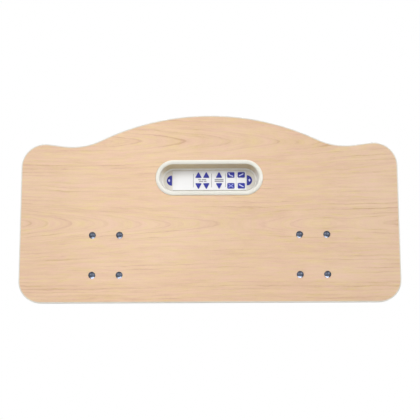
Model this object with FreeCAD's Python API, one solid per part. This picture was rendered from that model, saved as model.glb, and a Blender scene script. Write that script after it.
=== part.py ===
import FreeCAD, Part
import math
import os

# A head-end panel of a hospital bed: a laminated board with a crowned top, a recessed
# control module in its middle and two steel post sockets bolted to its back.
# Lengths are in millimetres. X runs to the right as seen from the front, Y runs from the
# front to the back and Z runs up. The pieces are drawn from a datum at the middle of the
# board's front face on its bottom edge, and then moved so that the origin is in the middle
# between the two lock holes, on the back face of the sockets.

# Board outline
BOARD_WIDTH = 914.0
CROWN_HEIGHT = 457.2
SHOULDER_HEIGHT = 387.7
VALLEY_RADIUS = 157.0
TOP_CORNER_RADIUS = 57.0
FOOT_CORNER_RADIUS = 53.0
SHOULDER_SLOPE = 7.74
SHOULDER_LENGTH = 38.85
BOARD_THICKNESS = 19.0

# Edge band with a spine that sits in a groove round the board
BAND_THICKNESS = 2.5
BAND_ARRIS = 1.0
SPINE_DEPTH = 8.0
SPINE_THICKNESS = 2.0
BAND_SEAT = 0.1

# Keys, seen from the front
KEY_HEIGHT = 13.7
KEY_ROW_GAP = 13.7
ARROW_WIDTH = 14.3
ARROW_CORNER_RADIUS = 1.2
POSITION_KEY_WIDTH = 17.4
POSITION_KEY_CORNER_RADIUS = 2.2
END_KEY_RADIUS = 12.6
END_KEY_CORNER_RADIUS = 1.4
END_KEY_STEM_OFFSET = 5.3
KNEE_COLUMN_STEP = 19.4
HEIGHT_COLUMN_STEP = 31.4
POSITION_COLUMN_STEP = 29.1
LAST_COLUMN_STEP = 25.6

# Keys, from front to back
KEY_PROUD = 1.2
KEY_CLEARANCE = 0.3
KEY_EDGE_RADIUS = 0.6
KEY_FLANGE_WIDTH = 1.2
KEY_FLANGE_THICKNESS = 1.05
KEY_FLANGE_GAP = 0.05
KEY_STEM_RADIUS = 2.2
KEY_STEM_LENGTH = 1.0
KEY_TRAVEL = 1.0
KEY_STOP_GAP = 0.2

# Printed label
LABEL_WIDTH = 181.4
LABEL_THICKNESS = 0.5
LABEL_CORNER_RADIUS = 1.0
LABEL_SIDE_BORDER = 3.15
LABEL_END_BORDER = 3.6
LABEL_CLEARANCE = 0.15

# Faceplate that carries the keys
END_KEY_GAP = 1.5
END_KEY_BORDER = 7.85
FACE_BORDER = 2.2
FACE_THICKNESS = 2.5
FACE_FLANGE_THICKNESS = 2.0
FACE_FLANGE_WIDTH = 1.9
FACE_FLANGE_REACH = 0.8
BOARD_POST_RADIUS = 3.0
BLANK_POST_OFFSET = 30.0

# Recess pan
RECESS_HEIGHT = 302.4
RECESS_DEPTH = 36.0
RECESS_DRAFT = 7.125
RIM_WIDTH = 10.0
RIM_PROUD = 4.0
RIM_EDGE = 2.0
RIM_ARRIS = 0.8
PAN_WALL = 2.5
LEDGE_WIDTH = 2.4
LEDGE_CROWN = 0.8
GROOVE_WIDTH = 0.7
LEDGE_THICKNESS = 2.5
SKIRT_THICKNESS = 3.0
SKIRT_CLEARANCE = 0.5
SKIRT_STEP = 4.0
SKIRT_LENGTH = 1.5
REAR_FLANGE_THICKNESS = 2.5
CUTOUT_CLEARANCE = 0.5
PASSING_CLEARANCE = 0.3
HOOK_WIDTH = 14.0
HOOK_REACH = 2.2
HOOK_LENGTH = 9.0
HOOK_CLEARANCE = 0.3
HOOK_OFFSET = 36.0
PAN_BOSS_LENGTH = 12.0

# Switches and circuit board
SWITCH_SIZE = 6.0
PLUNGER_RADIUS = 1.6
PLUNGER_CLEARANCE = 0.2
PLUNGER_ENTRY = 1.4
SWITCH_FLOOR = 0.6
CIRCUIT_THICKNESS = 1.6
CIRCUIT_MARGIN = 0.8
CHIP_SIZE = 12.0
CHIP_HEIGHT = 1.6
HEADER_LENGTH = 14.0
HEADER_WIDTH = 6.0
HEADER_HEIGHT = 6.0
HEADER_WALL = 1.0
HEADER_OFFSET = 14.0

# Rear cover of the module
COVER_DEPTH = 18.0
COVER_WALL = 2.0
COVER_EDGE_RADIUS = 3.0
COVER_SCREW_OFFSET = 72.0
RIB_THICKNESS = 2.0
RIB_LENGTH = 44.0
RIB_GAP = 0.2
COVER_BORE_DEPTH = 10.0

# Cable gland in the bottom of the rear cover
GLAND_OFFSET = 36.0
GLAND_BORE_RADIUS = 3.5
GLAND_NECK_RADIUS = 5.0
GLAND_FLANGE_RADIUS = 6.8
GLAND_FLANGE_THICKNESS = 1.5
GLAND_SEAT = 0.1

# Small screws of the module
SCREW_RADIUS = 1.1
SCREW_CLEARANCE = 0.2
THREAD_CLEARANCE = 0.05
SCREW_HEAD_RADIUS = 1.9
SCREW_HEAD_HEIGHT = 1.6
SCREW_HEAD_CLEARANCE = 0.2
SCREW_POST_WALL = 0.8
SCREW_ENTRY = 9.0
CIRCUIT_SCREW_ENTRY = 4.0
SCREW_TIP_GAP = 0.5
SLOT_WIDTH = 0.5
SLOT_DEPTH = 0.6

# Post sockets
SOCKET_SPACING = 498.0
SOCKET_BELOW_BOLTS = 19.7
SOCKET_ABOVE_BOLTS = 19.0
POCKET_WIDTH = 38.0
POCKET_DEPTH = 26.0
SHEET_THICKNESS = 3.0
SHEET_BEND_RADIUS = 3.0
WING_MARGIN = 13.0
WING_CORNER_RADIUS = 8.0
LOCK_HOLE_RADIUS = 5.25
LOCK_HEIGHT = 114.3
TAB_WIDTH = 28.0
TAB_CLEARANCE = 1.5
TAB_RELIEF = 4.0

# Bolts that hold the post sockets
BOLT_INSET = 10.7
BOLT_SPACING_Z = 96.3
BOLT_HEAD_RADIUS = 8.2
BOLT_HEAD_EDGE = 1.3
BOLT_HEAD_HEIGHT = 4.8
SLEEVE_RADIUS = 5.0
SLEEVE_CLEARANCE = 0.15
SLEEVE_SHORTFALL = 0.5
SLEEVE_FLOOR = 4.0
MACHINE_SCREW_RADIUS = 2.9
MACHINE_THREAD_CLEARANCE = 0.1
MACHINE_HOLE_CLEARANCE = 0.5
MACHINE_SCREW_ENTRY = 10.5
MACHINE_HEAD_RADIUS = 5.2
MACHINE_HEAD_HEIGHT = 4.0
MACHINE_HEAD_ARRIS = 0.8
HEX_RADIUS = 2.6
HEX_DEPTH = 2.4
WASHER_RADIUS = 6.3
WASHER_THICKNESS = 1.6

# Places along the depth of the board and its module
SEAT_Y = RECESS_DEPTH + LEDGE_THICKNESS
FACE_BACK_Y = SEAT_Y + FACE_FLANGE_THICKNESS
KEY_FLANGE_Y = RECESS_DEPTH + FACE_THICKNESS + KEY_FLANGE_GAP
KEY_BACK_Y = KEY_FLANGE_Y + KEY_FLANGE_THICKNESS + KEY_STEM_LENGTH
SWITCH_Y = KEY_BACK_Y + KEY_TRAVEL + KEY_STOP_GAP
SWITCH_BORE_Y = SWITCH_Y + PLUNGER_ENTRY + KEY_TRAVEL + KEY_STOP_GAP
CIRCUIT_Y = SWITCH_BORE_Y + SWITCH_FLOOR
CIRCUIT_BACK_Y = CIRCUIT_Y + CIRCUIT_THICKNESS
COVER_Y = FACE_BACK_Y + SKIRT_LENGTH
COVER_BACK_Y = COVER_Y + COVER_DEPTH
SOCKET_BACK_Y = BOARD_THICKNESS + POCKET_DEPTH + SHEET_THICKNESS
WING_BACK_Y = BOARD_THICKNESS + SHEET_THICKNESS

# Sizes across the post sockets
POCKET_SIDE = POCKET_WIDTH / 2 + SHEET_THICKNESS
BOLT_OFFSET_X = POCKET_SIDE + BOLT_INSET
BOLT_OFFSET_Z = BOLT_SPACING_Z / 2
WING_TIP = BOLT_OFFSET_X + WING_MARGIN
SOCKET_BOTTOM = LOCK_HEIGHT - BOLT_OFFSET_Z - SOCKET_BELOW_BOLTS
SOCKET_TOP = LOCK_HEIGHT + BOLT_OFFSET_Z + SOCKET_ABOVE_BOLTS

# Sizes across the module, from the keys outward
LABEL_HEIGHT = 2 * KEY_HEIGHT + KEY_ROW_GAP + 2 * LABEL_SIDE_BORDER
FACE_RADIUS = LABEL_HEIGHT / 2 + FACE_BORDER
OPENING_RADIUS = FACE_RADIUS + GROOVE_WIDTH
FLOOR_RADIUS = OPENING_RADIUS + LEDGE_WIDTH
FACE_FLANGE_RADIUS = FLOOR_RADIUS + FACE_FLANGE_REACH
FACE_HOLLOW_RADIUS = FACE_RADIUS - FACE_FLANGE_WIDTH
MOUTH_RADIUS = FLOOR_RADIUS + RECESS_DEPTH * math.tan(math.radians(RECESS_DRAFT))
RIM_RADIUS = MOUTH_RADIUS + RIM_WIDTH
CUTOUT_RADIUS = MOUTH_RADIUS + PAN_WALL + CUTOUT_CLEARANCE
REAR_FLANGE_RADIUS = CUTOUT_RADIUS - PASSING_CLEARANCE
SKIRT_INNER_RADIUS = FACE_FLANGE_RADIUS + SKIRT_CLEARANCE
SKIRT_OUTER_RADIUS = SKIRT_INNER_RADIUS + SKIRT_THICKNESS
CIRCUIT_RADIUS = FACE_FLANGE_RADIUS - CIRCUIT_MARGIN
HALF_LABEL = LABEL_WIDTH / 2
END_KEY_FLAT = HALF_LABEL + END_KEY_GAP
HALF_SPAN = END_KEY_FLAT + END_KEY_RADIUS + END_KEY_BORDER - FACE_RADIUS
SCREW_HEAD_BORE = SCREW_HEAD_RADIUS + SCREW_HEAD_CLEARANCE
SCREW_POST_RADIUS = SCREW_HEAD_BORE + SCREW_POST_WALL
SCREW_CIRCLE = REAR_FLANGE_RADIUS - SCREW_POST_RADIUS

# Key columns, counted from the right end of the label
LAST_COLUMN = HALF_LABEL - LABEL_END_BORDER - POSITION_KEY_WIDTH / 2
POSITION_COLUMN = LAST_COLUMN - LAST_COLUMN_STEP
HEIGHT_COLUMN = POSITION_COLUMN - POSITION_COLUMN_STEP
KNEE_COLUMN = HEIGHT_COLUMN - HEIGHT_COLUMN_STEP
HEAD_COLUMN = KNEE_COLUMN - KNEE_COLUMN_STEP
ROW_OFFSET = (KEY_ROW_GAP + KEY_HEIGHT) / 2

# The way that faces out of the board, square to the straight shoulder
SHOULDER_NORMAL = (-math.sin(math.radians(SHOULDER_SLOPE)), math.cos(math.radians(SHOULDER_SLOPE)))

ALONG_X = FreeCAD.Vector(1, 0, 0)
ALONG_Y = FreeCAD.Vector(0, 1, 0)
ALONG_Z = FreeCAD.Vector(0, 0, 1)
TO_ORIGIN = FreeCAD.Vector(0, -SOCKET_BACK_Y, -LOCK_HEIGHT)


def save(name, shape):
    """Move a finished piece to the part's own frame and write it."""
    placed = shape.copy()
    placed.translate(TO_ORIGIN)
    placed.exportStep("parts/" + name + ".step")


def fuse(shapes):
    """One solid out of shapes that meet, with the seams between them removed."""
    return shapes[0].multiFuse(shapes[1:]).removeSplitter()


def front_point(spot, y):
    """A spot (x, z) on the front view, at depth y."""
    return FreeCAD.Vector(spot[0], y, spot[1])


def top_point(spot, z):
    """A spot (x, y) on the plan view, at height z."""
    return FreeCAD.Vector(spot[0], spot[1], z)


def side_point(spot, x):
    """A spot (y, z) on the side view, at width x."""
    return FreeCAD.Vector(x, spot[0], spot[1])


def plate(wire, thickness):
    """A flat plate of one outline, from the outline's depth backward."""
    return Part.Face(wire).extrude(ALONG_Y * thickness)


def rod(x, z, radius, start_y, end_y):
    """A round bar along Y."""
    return Part.makeCylinder(radius, end_y - start_y, front_point((x, z), start_y), ALONG_Y)


def rounded_hull(centres, radius, y):
    """The outline that runs round the given corner centres (x, z) at one distance from them.

    The centres are counter-clockwise as seen from the front.
    """
    count = len(centres)
    normals = []
    for i in range(count):
        here = centres[i]
        ahead = centres[(i + 1) % count]
        length = math.hypot(ahead[0] - here[0], ahead[1] - here[1])
        normals.append(((ahead[1] - here[1]) / length, (here[0] - ahead[0]) / length))
    edges = []
    for i in range(count):
        here = centres[i]
        ahead = centres[(i + 1) % count]
        before = normals[i - 1]
        after = normals[i]
        middle = (before[0] + after[0], before[1] + after[1])
        size = math.hypot(middle[0], middle[1])
        if size < 1e-9:
            middle = (before[1], -before[0])
            middle = (-middle[0], -middle[1])
            size = 1.0
        start = (here[0] + radius * before[0], here[1] + radius * before[1])
        crest = (here[0] + radius * middle[0] / size, here[1] + radius * middle[1] / size)
        end = (here[0] + radius * after[0], here[1] + radius * after[1])
        next_start = (ahead[0] + radius * after[0], ahead[1] + radius * after[1])
        arc = Part.Arc(front_point(start, y), front_point(crest, y), front_point(end, y))
        edges.append(arc.toShape())
        edges.append(Part.LineSegment(front_point(end, y), front_point(next_start, y)).toShape())
    return Part.Wire(edges)


def stadium(radius, y):
    """The module's outline: two half circles of one radius with straight sides between."""
    return rounded_hull([(HALF_SPAN, RECESS_HEIGHT), (-HALF_SPAN, RECESS_HEIGHT)], radius, y)


def rounded_path(corners, place, level):
    """A closed outline through corners (u, v, radius), each rounded by its own radius."""
    count = len(corners)
    stretches = []
    for i in range(count):
        here = corners[i]
        before = corners[i - 1]
        ahead = corners[(i + 1) % count]
        back = (before[0] - here[0], before[1] - here[1])
        forth = (ahead[0] - here[0], ahead[1] - here[1])
        back_length = math.hypot(back[0], back[1])
        forth_length = math.hypot(forth[0], forth[1])
        back = (back[0] / back_length, back[1] / back_length)
        forth = (forth[0] / forth_length, forth[1] / forth_length)
        half_angle = math.acos(back[0] * forth[0] + back[1] * forth[1]) / 2
        cut = here[2] / math.tan(half_angle)
        start = (here[0] + cut * back[0], here[1] + cut * back[1])
        end = (here[0] + cut * forth[0], here[1] + cut * forth[1])
        bisector = (back[0] + forth[0], back[1] + forth[1])
        size = math.hypot(bisector[0], bisector[1])
        reach = here[2] / math.sin(half_angle) - here[2]
        crest = (here[0] + reach * bisector[0] / size, here[1] + reach * bisector[1] / size)
        stretches.append((start, crest, end, here[2]))
    edges = []
    for i in range(count):
        start, crest, end, radius = stretches[i]
        next_start = stretches[(i + 1) % count][0]
        if radius > 0:
            arc = Part.Arc(place(start, level), place(crest, level), place(end, level))
            edges.append(arc.toShape())
        line = Part.LineSegment(place(end, level), place(next_start, level))
        edges.append(line.toShape())
    return Part.Wire(edges)


# Board and edge band


def arc_between(centre, radius, start, end, y):
    """The shorter arc about a centre from one spot to another."""
    chord = (start[0] + end[0] - 2 * centre[0], start[1] + end[1] - 2 * centre[1])
    size = math.hypot(chord[0], chord[1])
    crest = (centre[0] + radius * chord[0] / size, centre[1] + radius * chord[1] / size)
    return Part.Arc(front_point(start, y), front_point(crest, y), front_point(end, y)).toShape()


def outline_centres():
    """The radius of the crown and the arc centres of the right half of the outline.

    A straight shoulder leaves the top corner and slopes down to the middle. A hollow arc
    joins it to the crown, whose radius is the one that makes the two arcs tangent.
    """
    corner = (BOARD_WIDTH / 2 - TOP_CORNER_RADIUS, SHOULDER_HEIGHT - TOP_CORNER_RADIUS)
    rise = TOP_CORNER_RADIUS + VALLEY_RADIUS
    valley = (
        corner[0] + rise * SHOULDER_NORMAL[0] - SHOULDER_LENGTH * SHOULDER_NORMAL[1],
        corner[1] + rise * SHOULDER_NORMAL[1] + SHOULDER_LENGTH * SHOULDER_NORMAL[0],
    )
    drop = CROWN_HEIGHT - valley[1]
    crown_radius = (valley[0] ** 2 + drop ** 2 - VALLEY_RADIUS ** 2) / (2 * (VALLEY_RADIUS + drop))
    centres = {
        "foot": (BOARD_WIDTH / 2 - FOOT_CORNER_RADIUS, FOOT_CORNER_RADIUS),
        "corner": corner,
        "valley": valley,
        "crown": (0.0, CROWN_HEIGHT - crown_radius),
    }
    return crown_radius, centres


def right_outline(inset):
    """The crown's radius and the spots of the right half of the outline, drawn in by an inset."""
    crown_radius, spots = outline_centres()
    corner = spots["corner"]
    valley = spots["valley"]
    crown = spots["crown"]
    corner_radius = TOP_CORNER_RADIUS - inset
    valley_radius = VALLEY_RADIUS + inset
    reach = (crown_radius - inset) / (crown_radius + VALLEY_RADIUS)
    spots["foot_low"] = (spots["foot"][0], inset)
    spots["foot_high"] = (BOARD_WIDTH / 2 - inset, spots["foot"][1])
    spots["corner_low"] = (BOARD_WIDTH / 2 - inset, corner[1])
    spots["corner_high"] = (
        corner[0] + corner_radius * SHOULDER_NORMAL[0],
        corner[1] + corner_radius * SHOULDER_NORMAL[1],
    )
    spots["valley_start"] = (
        valley[0] - valley_radius * SHOULDER_NORMAL[0],
        valley[1] - valley_radius * SHOULDER_NORMAL[1],
    )
    spots["valley_end"] = (
        crown[0] + reach * (valley[0] - crown[0]),
        crown[1] + reach * (valley[1] - crown[1]),
    )
    return crown_radius - inset, spots


def half_outline(inset, side, y):
    """The edges of one half of the board's outline, without the crown. side is 1 or -1."""
    crown_radius, spots = right_outline(inset)
    for name in spots:
        spots[name] = (side * spots[name][0], spots[name][1])

    def line(start, end):
        return Part.LineSegment(front_point(spots[start], y), front_point(spots[end], y)).toShape()

    def arc(centre, radius, start, end):
        return arc_between(spots[centre], radius, spots[start], spots[end], y)

    return [
        Part.LineSegment(front_point((0.0, inset), y), front_point(spots["foot_low"], y)).toShape(),
        arc("foot", FOOT_CORNER_RADIUS - inset, "foot_low", "foot_high"),
        line("foot_high", "corner_low"),
        arc("corner", TOP_CORNER_RADIUS - inset, "corner_low", "corner_high"),
        line("corner_high", "valley_start"),
        arc("valley", VALLEY_RADIUS + inset, "valley_start", "valley_end"),
    ]


def board_outline(inset, y):
    """The whole outline of the board, drawn in by an inset."""
    right = half_outline(inset, 1, y)
    left = half_outline(inset, -1, y)
    left.reverse()
    crown_radius, spots = right_outline(inset)
    end = spots["valley_end"]
    crown = arc_between(spots["crown"], crown_radius, end, (-end[0], end[1]), y)
    return Part.Wire(Part.__sortEdges__(right + [crown] + left))


def bolt_spots(side):
    """The four bolt places (x, z) of one post socket."""
    spots = []
    for across in (-1, 1):
        for up in (-1, 1):
            x = side * SOCKET_SPACING / 2 + across * BOLT_OFFSET_X
            spots.append((x, LOCK_HEIGHT + up * BOLT_OFFSET_Z))
    return spots


def all_bolt_spots():
    return bolt_spots(-1) + bolt_spots(1)


def spine_ring(seat):
    """The spine of the edge band, or its groove where seat is the clearance of the fit."""
    middle = BOARD_THICKNESS / 2
    start = middle - SPINE_THICKNESS / 2 - seat
    outer = plate(board_outline(BAND_THICKNESS, start), SPINE_THICKNESS + 2 * seat)
    inner_inset = BAND_THICKNESS + SPINE_DEPTH + seat
    inner = plate(board_outline(inner_inset, start), SPINE_THICKNESS + 2 * seat)
    return outer.cut(inner)


def make_board():
    body = plate(board_outline(BAND_THICKNESS + BAND_SEAT, 0), BOARD_THICKNESS)
    cuts = [plate(stadium(CUTOUT_RADIUS, 0), BOARD_THICKNESS), spine_ring(BAND_SEAT)]
    for x, z in all_bolt_spots():
        cuts.append(rod(x, z, SLEEVE_RADIUS + SLEEVE_CLEARANCE, 0, BOARD_THICKNESS))
    return body.cut(cuts)


def make_edge_band():
    outer = plate(board_outline(0, 0), BOARD_THICKNESS)
    rims = []
    for edge in outer.Edges:
        low = edge.BoundBox.YMin
        high = edge.BoundBox.YMax
        if high - low < BAND_ARRIS / 10:
            rims.append(edge)
    outer = outer.makeFillet(BAND_ARRIS, rims)
    inner = plate(board_outline(BAND_THICKNESS, 0), BOARD_THICKNESS)
    return outer.cut(inner).fuse(spine_ring(0)).removeSplitter()


# Recess pan


def pan_section():
    """The wall of the pan from its rim to its rear flange, in a plane across the module.

    Each spot is (distance from the arc centre, depth).
    """
    slope = math.tan(math.radians(RECESS_DRAFT))
    wall_end = RECESS_DEPTH - SKIRT_STEP
    skirt_start = RECESS_DEPTH - SKIRT_STEP / 4
    flange_front = COVER_Y - REAR_FLANGE_THICKNESS
    outer_mouth = MOUTH_RADIUS + PAN_WALL
    # the front of the rim is a shallow arch, with a small rounding where it meets the side
    half = RIM_WIDTH / 2
    middle = MOUTH_RADIUS + half
    rise = RIM_PROUD - RIM_EDGE
    arch_radius = (half ** 2 + rise ** 2) / (2 * rise)
    arch_y = arch_radius - RIM_PROUD
    mouth = MOUTH_RADIUS + slope * RIM_EDGE
    mouth_spot = (mouth, arch_y - math.sqrt(arch_radius ** 2 - (mouth - middle) ** 2))
    run = half - RIM_ARRIS
    drop = math.sqrt((arch_radius - RIM_ARRIS) ** 2 - run ** 2)
    share = arch_radius / (arch_radius - RIM_ARRIS)
    turn = math.atan2(drop, run) / 2
    side_spot = (RIM_RADIUS, arch_y - drop)
    round_spot = (middle + run + RIM_ARRIS * math.cos(turn), arch_y - drop - RIM_ARRIS * math.sin(turn))
    arch_spot = (middle + run * share, arch_y - drop * share)
    spots = [
        (OPENING_RADIUS, RECESS_DEPTH),
        (OPENING_RADIUS, SEAT_Y),
        (SKIRT_INNER_RADIUS, SEAT_Y),
        (SKIRT_INNER_RADIUS, COVER_Y),
        (REAR_FLANGE_RADIUS, COVER_Y),
        (REAR_FLANGE_RADIUS, flange_front),
        (SKIRT_OUTER_RADIUS, flange_front),
        (SKIRT_OUTER_RADIUS, skirt_start),
        (outer_mouth - slope * wall_end, wall_end),
        (outer_mouth, 0.0),
        (RIM_RADIUS, 0.0),
        side_spot,
    ]

    def place(spot):
        return FreeCAD.Vector(HALF_SPAN, spot[1], RECESS_HEIGHT + spot[0])

    edges = []
    for start, end in zip(spots, spots[1:]):
        edges.append(Part.LineSegment(place(start), place(end)).toShape())
    floor_spot = (FLOOR_RADIUS, RECESS_DEPTH)
    ledge_crest = ((FLOOR_RADIUS + OPENING_RADIUS) / 2, RECESS_DEPTH - LEDGE_CROWN)
    edges.append(Part.Arc(place(side_spot), place(round_spot), place(arch_spot)).toShape())
    edges.append(Part.Arc(place(arch_spot), place((middle, -RIM_PROUD)), place(mouth_spot)).toShape())
    edges.append(Part.LineSegment(place(mouth_spot), place(floor_spot)).toShape())
    edges.append(Part.Arc(place(floor_spot), place(ledge_crest), place(spots[0])).toShape())
    return Part.Face(Part.Wire(edges))


def run_round(section):
    """A wall section carried once round the module, past both straights and both ends."""
    right_centre = FreeCAD.Vector(HALF_SPAN, 0, RECESS_HEIGHT)
    left_centre = FreeCAD.Vector(-HALF_SPAN, 0, RECESS_HEIGHT)
    right_end = section.revolve(right_centre, ALONG_Y, 180)
    left_section = section.translated(ALONG_X * (-2 * HALF_SPAN))
    left_end = left_section.revolve(left_centre, ALONG_Y, -180)
    top = left_section.extrude(ALONG_X * (2 * HALF_SPAN))
    bottom = top.rotated(FreeCAD.Vector(0, 0, RECESS_HEIGHT), ALONG_Y, 180)
    return fuse([top, right_end, bottom, left_end])


def cover_screw_spots():
    """The six places (x, z) where screws join the rear cover to the pan."""
    spots = []
    for side in (-1, 1):
        spots.append((side * (HALF_SPAN + SCREW_CIRCLE), RECESS_HEIGHT))
        for up in (-1, 1):
            spots.append((side * COVER_SCREW_OFFSET, RECESS_HEIGHT + up * SCREW_CIRCLE))
    return spots


def snap_hook(x, up):
    """A wedge on the pan's wall that catches behind the board. up is 1 or -1."""
    slope = math.tan(math.radians(RECESS_DRAFT))
    catch_y = BOARD_THICKNESS + HOOK_CLEARANCE
    end_y = catch_y + HOOK_LENGTH
    root = PAN_WALL / 2
    spots = [
        (catch_y, MOUTH_RADIUS + PAN_WALL - slope * catch_y - root),
        (catch_y, CUTOUT_RADIUS + HOOK_REACH),
        (catch_y + HOOK_REACH, CUTOUT_RADIUS + HOOK_REACH),
        (end_y, MOUTH_RADIUS + PAN_WALL - slope * end_y),
        (end_y, MOUTH_RADIUS + PAN_WALL - slope * end_y - root),
    ]
    corners = []
    for y, distance in spots:
        corners.append(side_point((y, RECESS_HEIGHT + up * distance), x - HOOK_WIDTH / 2))
    outline = Part.makePolygon(corners + [corners[0]])
    return Part.Face(outline).extrude(ALONG_X * HOOK_WIDTH)


def make_recess_pan():
    pieces = [run_round(pan_section())]
    for x, z in cover_screw_spots():
        pieces.append(rod(x, z, SCREW_POST_RADIUS, COVER_Y - PAN_BOSS_LENGTH, COVER_Y))
    for side in (-1, 1):
        for up in (-1, 1):
            pieces.append(snap_hook(side * HOOK_OFFSET, up))
    body = fuse(pieces)
    # the tops of the bosses must not stand inside the hollow of the recess or the faceplate
    hollow = plate(stadium(SKIRT_INNER_RADIUS, SEAT_Y), COVER_Y - SEAT_Y)
    cuts = [hollow]
    for x, z in cover_screw_spots():
        pilot = SCREW_RADIUS + THREAD_CLEARANCE
        cuts.append(rod(x, z, pilot, COVER_Y - SCREW_ENTRY - SCREW_TIP_GAP, COVER_Y))
    return body.cut(cuts)


# Keys


def arrow_outline(x, z, up, grow, y):
    """A triangle with rounded corners that points up or down."""
    inner = ARROW_WIDTH / 2 - ARROW_CORNER_RADIUS
    rise = KEY_HEIGHT / 2 - ARROW_CORNER_RADIUS
    centres = [(x - inner, z - up * rise), (x + inner, z - up * rise), (x, z + up * rise)]
    if up < 0:
        centres.reverse()
    return rounded_hull(centres, ARROW_CORNER_RADIUS + grow, y)


def position_outline(x, z, up, grow, y):
    """A rectangle with rounded corners."""
    across = POSITION_KEY_WIDTH / 2 - POSITION_KEY_CORNER_RADIUS
    rise = KEY_HEIGHT / 2 - POSITION_KEY_CORNER_RADIUS
    centres = [
        (x - across, z - rise),
        (x + across, z - rise),
        (x + across, z + rise),
        (x - across, z + rise),
    ]
    return rounded_hull(centres, POSITION_KEY_CORNER_RADIUS + grow, y)


def end_outline(x, z, side, grow, y):
    """A half moon with rounded tips. x is its flat edge and side the way that it bulges."""
    radius = END_KEY_RADIUS
    tip = END_KEY_CORNER_RADIUS
    run = math.sqrt((radius - tip) ** 2 - tip ** 2)
    reach = radius + grow
    scale = reach / (radius - tip)
    flat = x - side * grow
    high = (x + side * tip, z + run)
    low = (x + side * tip, z - run)
    high_end = (x + side * tip * scale, z + run * scale)
    low_end = (x + side * tip * scale, z - run * scale)

    def tip_arc(centre, start, end):
        return arc_between(centre, tip + grow, start, end, y)

    def line(start, end):
        return Part.LineSegment(front_point(start, y), front_point(end, y)).toShape()

    high_flat = (flat, high[1])
    low_flat = (flat, low[1])
    bulge = (x + side * reach, z)
    edges = [
        line(low_flat, high_flat),
        tip_arc(high, high_flat, high_end),
        Part.Arc(front_point(high_end, y), front_point(bulge, y), front_point(low_end, y)).toShape(),
        tip_arc(low, low_end, low_flat),
    ]
    return Part.Wire(edges)


def key_table():
    """Each key's name, outline, place (x, z), direction and the place of its switch in x."""
    high = RECESS_HEIGHT + ROW_OFFSET
    low = RECESS_HEIGHT - ROW_OFFSET
    keys = []
    for name, x in (("head", HEAD_COLUMN), ("knee", KNEE_COLUMN), ("height", HEIGHT_COLUMN)):
        keys.append((name + "_up_key", arrow_outline, x, high, 1, x))
        keys.append((name + "_down_key", arrow_outline, x, low, -1, x))
    keys.append(("chair_position_key", position_outline, POSITION_COLUMN, high, 1, POSITION_COLUMN))
    keys.append(("flat_position_key", position_outline, POSITION_COLUMN, low, -1, POSITION_COLUMN))
    keys.append(("head_tilt_key", position_outline, LAST_COLUMN, high, 1, LAST_COLUMN))
    keys.append(("foot_tilt_key", position_outline, LAST_COLUMN, low, -1, LAST_COLUMN))
    for name, side in (("left", -1), ("right", 1)):
        flat = side * END_KEY_FLAT
        switch_x = flat + side * END_KEY_STEM_OFFSET
        keys.append((name + "_end_key", end_outline, flat, RECESS_HEIGHT, side, switch_x))
    return keys


def make_key(outline, x, z, way, switch_x):
    front_y = RECESS_DEPTH - KEY_PROUD
    cap = plate(outline(x, z, way, 0, front_y), KEY_FLANGE_Y - front_y)
    front_edges = []
    for edge in cap.Edges:
        if edge.BoundBox.YMax < front_y + KEY_PROUD / 10:
            front_edges.append(edge)
    cap = cap.makeFillet(KEY_EDGE_RADIUS, front_edges)
    flange = plate(outline(x, z, way, KEY_FLANGE_WIDTH, KEY_FLANGE_Y), KEY_FLANGE_THICKNESS)
    stem = rod(switch_x, z, KEY_STEM_RADIUS, KEY_FLANGE_Y, KEY_BACK_Y)
    return fuse([cap, flange, stem])


def make_plunger(x, z):
    return rod(x, z, PLUNGER_RADIUS, KEY_BACK_Y, SWITCH_Y + PLUNGER_ENTRY)


def make_switch(x, z):
    corner = front_point((x - SWITCH_SIZE / 2, z - SWITCH_SIZE / 2), SWITCH_Y)
    body = Part.makeBox(SWITCH_SIZE, CIRCUIT_Y - SWITCH_Y, SWITCH_SIZE, corner)
    bore = rod(x, z, PLUNGER_RADIUS + PLUNGER_CLEARANCE, SWITCH_Y, SWITCH_BORE_Y)
    return body.cut(bore)


# Faceplate, label and circuit board


def board_post_spots():
    """The places (x, z) of the posts that carry the circuit board, clear of the keys."""
    left = BLANK_POST_OFFSET - HALF_LABEL
    return [
        (left, RECESS_HEIGHT + ROW_OFFSET),
        (left, RECESS_HEIGHT - ROW_OFFSET),
        ((KNEE_COLUMN + HEIGHT_COLUMN) / 2, RECESS_HEIGHT),
        ((POSITION_COLUMN + LAST_COLUMN) / 2, RECESS_HEIGHT),
    ]


def label_outline(grow, y):
    across = LABEL_WIDTH / 2 - LABEL_CORNER_RADIUS
    rise = LABEL_HEIGHT / 2 - LABEL_CORNER_RADIUS
    centres = [
        (-across, RECESS_HEIGHT - rise),
        (across, RECESS_HEIGHT - rise),
        (across, RECESS_HEIGHT + rise),
        (-across, RECESS_HEIGHT + rise),
    ]
    return rounded_hull(centres, LABEL_CORNER_RADIUS + grow, y)


def key_windows(grow, start_y, depth):
    """The holes that the keys pass through, larger than each key by a clearance."""
    windows = []
    for name, outline, x, z, way, switch_x in key_table():
        windows.append(plate(outline(x, z, way, grow, start_y), depth))
    return windows


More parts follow.
